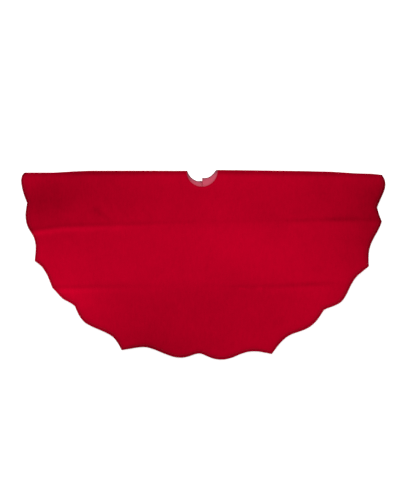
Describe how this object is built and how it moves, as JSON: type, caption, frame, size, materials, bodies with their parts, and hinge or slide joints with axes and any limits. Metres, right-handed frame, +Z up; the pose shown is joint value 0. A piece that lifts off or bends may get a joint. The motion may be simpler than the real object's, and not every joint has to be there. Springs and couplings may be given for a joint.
{
  "type": "tree skirt",
  "caption": "Round red velvet Christmas tree skirt with a scalloped hem, folded in half, its back half slit into two flaps that turn out flat round a trunk.",
  "frame": {"origin": "middle of the trunk opening, on the fold, at floor level", "axes": "+X along the fold to the skirt's right end, +Y away from the folded half disc, +Z up"},
  "size_m": [1.1552, 0.5994, 0.0056],
  "materials": {
    "velvet": "deep red polyester velvet, short pile",
    "lining_satin": "dusty rose satin",
    "facing_tape": "dusty rose bias tape",
    "ribbon": "red satin ribbon",
    "thread": "dark red sewing thread",
    "label_tape": "plain white woven tape"
  },
  "bodies": {
    "front_half": {"front_velvet": "velvet", "front_lining": "lining_satin", "front_edge_roll": "velvet", "front_neck_facing": "facing_tape", "fold_roll_left": "velvet", "fold_roll_right": "velvet"},
    "back_left_flap": {"back_left_velvet": "velvet", "back_left_lining": "lining_satin", "back_left_edge_roll": "velvet", "back_left_neck_facing": "facing_tape", "back_left_slit_facing": "facing_tape", "left_tie_upper": "ribbon", "left_tie_middle": "ribbon", "left_tie_lower": "ribbon", "left_tie_tacks": "thread"},
    "back_right_flap": {"back_right_velvet": "velvet", "back_right_lining": "lining_satin", "back_right_edge_roll": "velvet", "back_right_neck_facing": "facing_tape", "back_right_slit_facing": "facing_tape", "right_tie_upper": "ribbon", "right_tie_middle": "ribbon", "right_tie_lower": "ribbon", "right_tie_tacks": "thread", "care_label": "label_tape"}
  },
  "joints": [
    {"name": "left_flap_unfold", "type": "hinge", "parent": "front_half", "child": "back_left_flap", "pos_m": [-0.00002, 0.00275, 0.0028], "axis": [1, 0.0079, 0], "range_deg": [0, 180]},
    {"name": "right_flap_unfold", "type": "hinge", "parent": "front_half", "child": "back_right_flap", "pos_m": [0.00004, 0.00275, 0.0028], "axis": [0.9999, -0.0131, 0], "range_deg": [0, 180]}
  ]
}
